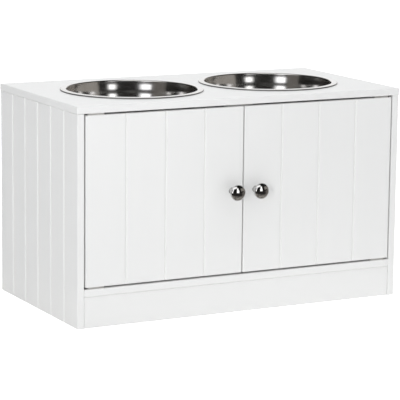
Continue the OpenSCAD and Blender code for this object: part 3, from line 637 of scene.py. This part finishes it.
head = cone(tree, given["Face Radius"], given["Neck Radius"], given["Head Height"],
            minus(tree, given["Head Height"]))
deep = calculate(tree, "MULTIPLY", given["Recess Depth"], 2)
slots = [add_node(tree, "GeometryNodeMeshCube", together(tree, *sides, deep)) for sides in (
    (given["Recess Span"], given["Recess Slot"]), (given["Recess Slot"], given["Recess Span"]))]
recess = add_node(tree, "GeometryNodeMeshBoolean", settings={"operation": "UNION", "solver": "EXACT"})
for slot in slots:
    tree.links.new(slot, recess.node.inputs["Mesh 2"])
head = add_node(tree, "GeometryNodeMeshBoolean", head, recess,
                settings={"operation": "DIFFERENCE", "solver": "EXACT"})
shank_length = calculate(tree, "SUBTRACT", given["Length"], given["Head Height"])
core_length = calculate(tree, "SUBTRACT", shank_length, given["Point Length"])
core_foot = minus(tree, calculate(tree, "SUBTRACT", given["Length"], given["Point Length"]))
core = cone(tree, given["Core Radius"], given["Core Radius"], core_length, core_foot)
point = cone(tree, given["Core Radius"], calculate(tree, "MULTIPLY", given["Core Radius"], 0.15),
             given["Point Length"], minus(tree, given["Length"]))
thread_length = calculate(tree, "SUBTRACT", core_length, given["Plain Length"])
helix = add_node(tree, "GeometryNodeCurveSpiral", Resolution=20, Start_Radius=given["Core Radius"],
                 Rotations=calculate(tree, "DIVIDE", thread_length, given["Pitch"]),
                 End_Radius=given["Core Radius"], Height=thread_length)
along = add_node(tree, "GeometryNodeSplineParameter")
to_tip = calculate(tree, "MINIMUM", along, calculate(tree, "SUBTRACT", 1, along))
taper = calculate(tree, "MINIMUM", calculate(tree, "MULTIPLY_ADD", to_tip, 8, 0.15), 1)
ridge = add_node(tree, "GeometryNodeCurvePrimitiveCircle", Resolution=4, Radius=given["Ridge"])
thread = add_node(tree, "GeometryNodeCurveToMesh", Curve=helix, Profile_Curve=ridge, Scale=taper,
                  Fill_Caps=True)
thread = add_node(tree, "GeometryNodeTransform", thread, Translation=together(tree, 0, 0, core_foot))
whole = add_node(tree, "GeometryNodeJoinGeometry")
for part in (thread, point, core, head):
    tree.links.new(part, whole.node.inputs[0])
aim = add_node(tree, "GeometryNodeInputNamedAttribute", "aim", settings={"data_type": "FLOAT_VECTOR"})
facing = add_node(tree, "FunctionNodeAlignRotationToVector", Vector=aim, settings={"axis": "Z"})
driven_home = add_node(tree, "FunctionNodeRandomValue", Max=math.tau, Seed=given["Seed"],
                       settings={"data_type": "FLOAT"})
facing = add_node(tree, "FunctionNodeRotateRotation", facing, together(tree, 0, 0, driven_home),
                  settings={"rotation_space": "LOCAL"})
screws = add_node(tree, "GeometryNodeInstanceOnPoints", Points=given["Places"], Instance=whole,
                  Rotation=facing)
screws = add_node(tree, "GeometryNodeRealizeInstances", Geometry=screws)
screws = add_node(tree, "GeometryNodeSetMaterial", Geometry=screws, Material=given["Steel"])
add_node(tree, "NodeGroupOutput", screws)


def screws_for(name, node, body, slot, aims, seed, steel, **sizes):
    """Screws in place of a CAD node's. aims gives, for a screw's middle, the way that its head faces."""
    start = bpy.data.meshes.new(name)
    faces = []
    for corners in solids(node):
        low = Vector([min(corner[i] for corner in corners) for i in range(3)])
        high = Vector([max(corner[i] for corner in corners) for i in range(3)])
        facing = aims((low + high) / 2)
        reach = sum(abs(facing[i]) * (high - low)[i] for i in range(3)) / 2
        faces.append(((low + high) / 2 + facing * reach, facing))
    start.from_pydata([place for place, facing in faces], [], [])
    aim = start.attributes.new("aim", "FLOAT_VECTOR", "POINT")
    for item, (place, facing) in zip(aim.data, faces):
        item.vector = facing
    made = grown(name, driven, start, Seed=seed, Steel=steel, **sizes)
    set_normals(made, sharpest=40)
    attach(made, body)
    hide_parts(node)


UP, BACK = Vector((0, 0, 1)), Vector((0, 1, 0))
cabinet_middle = (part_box("left_door")[0].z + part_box("left_door")[1].z) / 2
wood_screw = {"Face_Radius": 2.4 * mm, "Neck_Radius": 1.25 * mm, "Head_Height": 1.15 * mm,
              "Core_Radius": 0.85 * mm, "Ridge": 0.38 * mm, "Pitch": 1.1 * mm, "Length": 9.5 * mm,
              "Plain_Length": 0.6 * mm, "Point_Length": 1.6 * mm, "Recess_Span": 2.5 * mm,
              "Recess_Slot": 0.6 * mm, "Recess_Depth": 0.8 * mm}
screws_for("cabinet_hinge_screws", "cabinet_leaf_screws", "cabinet", "hinge_steel",
           lambda place: -UP if place.z > cabinet_middle else UP, 3, nickel_steel, **wood_screw)
for side, seed in (("left", 5), ("right", 8)):
    screws_for(side + "_door_hinge_screws", side + "_door_leaf_screws", side + "_door", "hinge_steel",
               lambda place: UP if place.z > cabinet_middle else -UP, seed, nickel_steel, **wood_screw)


# ------------------------------------------------------------------------- knobs
# A mushroom knob is turned from cast zinc, polished and chrome plated. A machine
# screw through the door holds it, with a domed head on the door's back.


def arc(centre, radius, start, end, steps):
    """Points on an arc between two angles in degrees, counted from the first axis to the second."""
    angles = [math.radians(start + (end - start) * i / steps) for i in range(steps + 1)]
    return [(centre[0] + radius * math.cos(a), centre[1] + radius * math.sin(a)) for a in angles]


def quarter_curve(start, end, hollow_first, steps=14):
    """A quarter ellipse from start to end that leaves start along Z, or along the radius."""
    points = []
    for i in range(1, steps + 1):
        a = math.pi / 2 * i / steps
        share = (1 - math.cos(a), math.sin(a)) if hollow_first else (math.sin(a), 1 - math.cos(a))
        points.append((start[0] + (end[0] - start[0]) * share[0], start[1] + (end[1] - start[1]) * share[1]))
    return points


bright_chrome, tree = new_material("bright_chrome")
cloud = noise(tree, object_place(tree), 90, detail=3)
polish = noise(tree, object_place(tree), 1400, detail=3)
chrome = mix_colours(tree, cloud, (0.54, 0.535, 0.53, 1), (0.6, 0.595, 0.59, 1))
close_material(bright_chrome, Base_Color=chrome, Metallic=1.0, Roughness=between(tree, polish, 0.025, 0.06),
               Normal=bump(tree, polish, 0.0008 * mm, bump(tree, cloud, 0.03 * mm)))

knob_low, knob_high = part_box("left_knob")
projection = (knob_high.y - knob_low.y) / mm
head = (knob_high.x - knob_low.x) / 2 / mm
foot, neck, foot_height, head_depth, bore, bore_depth = 5.5, 4.2, 1.6, 11, 2.05, 11
ease, back_share, rim_share, waist_share = 0.3, 0.62, 0.36, 0.45
back, head_back = back_share * head, projection - head_depth
rim = head_back + rim_share * head_depth
waist = foot_height + waist_share * (head_back - foot_height)
knob_outline = [(0, bore_depth), (bore, bore_depth), (bore, 0), (foot - ease, 0), (foot, ease),
                (foot, foot_height - ease), (foot - ease, foot_height)]
knob_outline += quarter_curve((foot - ease, foot_height), (neck, waist), hollow_first=False)
knob_outline += quarter_curve((neck, waist), (back, head_back), hollow_first=True)
knob_outline += quarter_curve((back, head_back), (head, rim), hollow_first=False)
knob_outline += quarter_curve((head, rim), (0, projection), hollow_first=True)
machine_screw = {"Face_Radius": 3 * mm, "Neck_Radius": 4 * mm, "Head_Height": 2.4 * mm,
                 "Core_Radius": 1.65 * mm, "Ridge": 0.33 * mm, "Pitch": 0.7 * mm, "Length": 24.4 * mm,
                 "Plain_Length": 3 * mm, "Point_Length": 0.5 * mm, "Recess_Span": 4 * mm,
                 "Recess_Slot": 1 * mm, "Recess_Depth": 1.4 * mm}
for side, seed in (("left", 2), ("right", 6)):
    low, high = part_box(side + "_knob")
    on_door = Matrix.Translation(((low.x + high.x) / 2, high.y, (low.z + high.z) / 2))
    knob = turned(side + "_door_knob", knob_outline, bright_chrome,
                  place=on_door @ Matrix.Rotation(quarter, 4, "X"))
    set_normals(knob, sharpest=50)
    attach(knob, side + "_door")
    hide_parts(side + "_knob")
    screws_for(side + "_knob_bolt", side + "_knob_screw", side + "_door", "zinc_plate",
               lambda place: BACK, seed, zinc_plate, **machine_screw)


# ---------------------------------------------------------------- magnetic catch
# A moulded nylon housing under the top holds two ferrite magnets between steel
# poles. A small steel plate on the back of each door meets them.

coat(nickel_steel, "catch_pole_plates", "left_strike_plate", "right_strike_plate")
ferrite, tree = new_material("ferrite")
sinter = noise(tree, object_place(tree), 1800, detail=5, roughness=0.7)
magnet_grey = mix_colours(tree, sinter, (0.025, 0.025, 0.028, 1), (0.06, 0.058, 0.056, 1))
close_material(ferrite, Base_Color=magnet_grey, Roughness=between(tree, sinter, 0.5, 0.75),
               Normal=bump(tree, sinter, 0.04 * mm))
coat(ferrite, "catch_magnets")
pan_screw = {**wood_screw, "Face_Radius": 2.1 * mm, "Neck_Radius": 2.7 * mm, "Head_Height": 1.8 * mm,
             "Length": 11.3 * mm, "Recess_Slot": 0.7 * mm, "Recess_Depth": 1 * mm}
screws_for("catch_mounting_screws", "catch_screws", "cabinet", "zinc_plate", lambda place: -UP, 4, zinc_plate,
           **pan_screw)
for side, seed in (("left", 1), ("right", 7)):
    screws_for(side + "_strike_plate_screw", side + "_strike_screw", side + "_door", "hinge_steel",
               lambda place: BACK, seed, nickel_steel, **wood_screw)


# ------------------------------------------------------------------------- bowls
# Each bowl is pressed from 0.8 mm stainless sheet and mirror polished. Its flange
# falls gently to a folded rim, which rests on the top board round the hole.

sheet, flange_width, rim_height, slope = 0.8, 10.5, 2.5, 5
corner_radius, lip_radius, lean, wall_steps = 24, 1.5, 10, 60


def press_wave(z):
    """How far the wall bulges inwards at a height: the press leaves rings, a tenth of a millimetre deep."""
    depth, pitch, first = rim_height - z, 15.5, 11.5
    swell, lowest, run_out = 0.11, 46, 8
    share = min(1, max(0, (lowest - depth) / run_out))
    return swell * share * (math.sin(math.tau * (depth - first) / pitch) + math.sin(math.tau * first / pitch))


def mirror_steel(name, centre, edge):
    """Polished sheet with buffing rings and soft waves from the press; past the radius edge duller, with
    painted shade darkening its colour.
    """
    material, tree = new_material(name)
    here = object_place(tree, location=(-centre.x, -centre.y, 0))
    parts = add_node(tree, "ShaderNodeSeparateXYZ", here).node.outputs
    out = calculate(tree, "SQRT", calculate(tree, "ADD", calculate(tree, "MULTIPLY", parts["X"], parts["X"]),
                                            calculate(tree, "MULTIPLY", parts["Y"], parts["Y"])))
    ring_place = together(tree, out, parts["Z"], 0)
    rings = noise(tree, ring_place, 2600, detail=2)
    broad_rings = noise(tree, ring_place, 160, detail=3)
    waves = noise(tree, here, 22, detail=2)
    haze = noise(tree, here, 60, detail=4)
    surface = bump(tree, waves, 0.08 * mm, bump(tree, broad_rings, 0.01 * mm, bump(tree, rings, 0.0004 * mm)))
    colour = mix_colours(tree, haze, (0.68, 0.67, 0.655, 1), (0.75, 0.74, 0.73, 1))
    # Painted shade: past the edge, on the outer half of the folded rim, the colour turns dark to stand for
    # the shadow where the rim meets the board; the steel there is also rougher.
    dull = fade(tree, out, edge - 0.15 * mm, edge + 0.15 * mm)
    gloss = calculate(tree, "MULTIPLY_ADD", rings, 0.04, between(tree, haze, 0.1, 0.15))
    return close_material(material, Metallic=1.0, Normal=surface,
                          Base_Color=mix_colours(tree, dull, colour, (0.2, 0.195, 0.19, 1)),
                          Roughness=calculate(tree, "MULTIPLY_ADD", dull, 0.15, gloss))


for side in ("left", "right"):
    low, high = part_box(side + "_bowl")
    centre = Vector(((low.x + high.x) / 2, (low.y + high.y) / 2, high.z - rim_height * mm))
    rim = (high.x - low.x) / 2 / mm
    depth = (centre.z - low.z) / mm - sheet
    lip_in = lip_radius + sheet
    lip = (rim - flange_width + lip_in, rim_height - lip_in)
    sine, cosine = math.sin(math.radians(slope)), math.cos(math.radians(slope))
    fold = (lip_in + lip[1] * cosine - (rim - lip[0]) * sine) / (1 + cosine - sine)
    sine, cosine = math.sin(math.radians(lean)), math.cos(math.radians(lean))
    wall = (lip[1] + lip_in * sine + depth - corner_radius * (1 - sine)) / cosine
    corner = (lip[0] - lip_in * cosine - wall * sine - corner_radius * cosine, corner_radius - depth)
    inner, outer = [
        [(wall_foot[0] + (wall_head[0] - wall_foot[0]) * i / wall_steps,
          wall_foot[1] + (wall_head[1] - wall_foot[1]) * i / wall_steps)
         for i in range(1, wall_steps)]
        for wall_foot, wall_head in (
            (arc(corner, corner_radius, -lean, 0, 1)[0], arc(lip, lip_in, 180 - lean, 0, 1)[0]),
            (arc(corner, corner_radius + sheet, -lean, 0, 1)[0], arc(lip, lip_radius, 180 - lean, 0, 1)[0]))]
    outline = [(0, -depth), (corner[0] / 2, -depth)]
    outline += arc(corner, corner_radius, -90, -lean, 28)
    outline += [(r - press_wave(z), z) for r, z in inner]
    outline += arc(lip, lip_in, 180 - lean, 90 - slope, 10)
    outline += arc((rim - fold, fold), fold, 90 - slope, -180 - slope, 24)
    outline += arc(lip, lip_radius, 90 - slope, 180 - lean, 8)
    outline += [(r - press_wave(z), z) for r, z in reversed(outer)]
    outline += arc(corner, corner_radius + sheet, -lean, -90, 28)
    outline += [(corner[0] / 2, -depth - sheet), (0, -depth - sheet)]
    steel = mirror_steel(side + "_mirror_steel", centre, edge=(rim - 0.5 * fold) * mm)
    bowl = turned(side + "_steel_bowl", outline, steel, steps=192, place=Matrix.Translation(centre))
    set_normals(bowl, sharpest=60)
    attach(bowl, side + "_bowl")
    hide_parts(side + "_bowl")
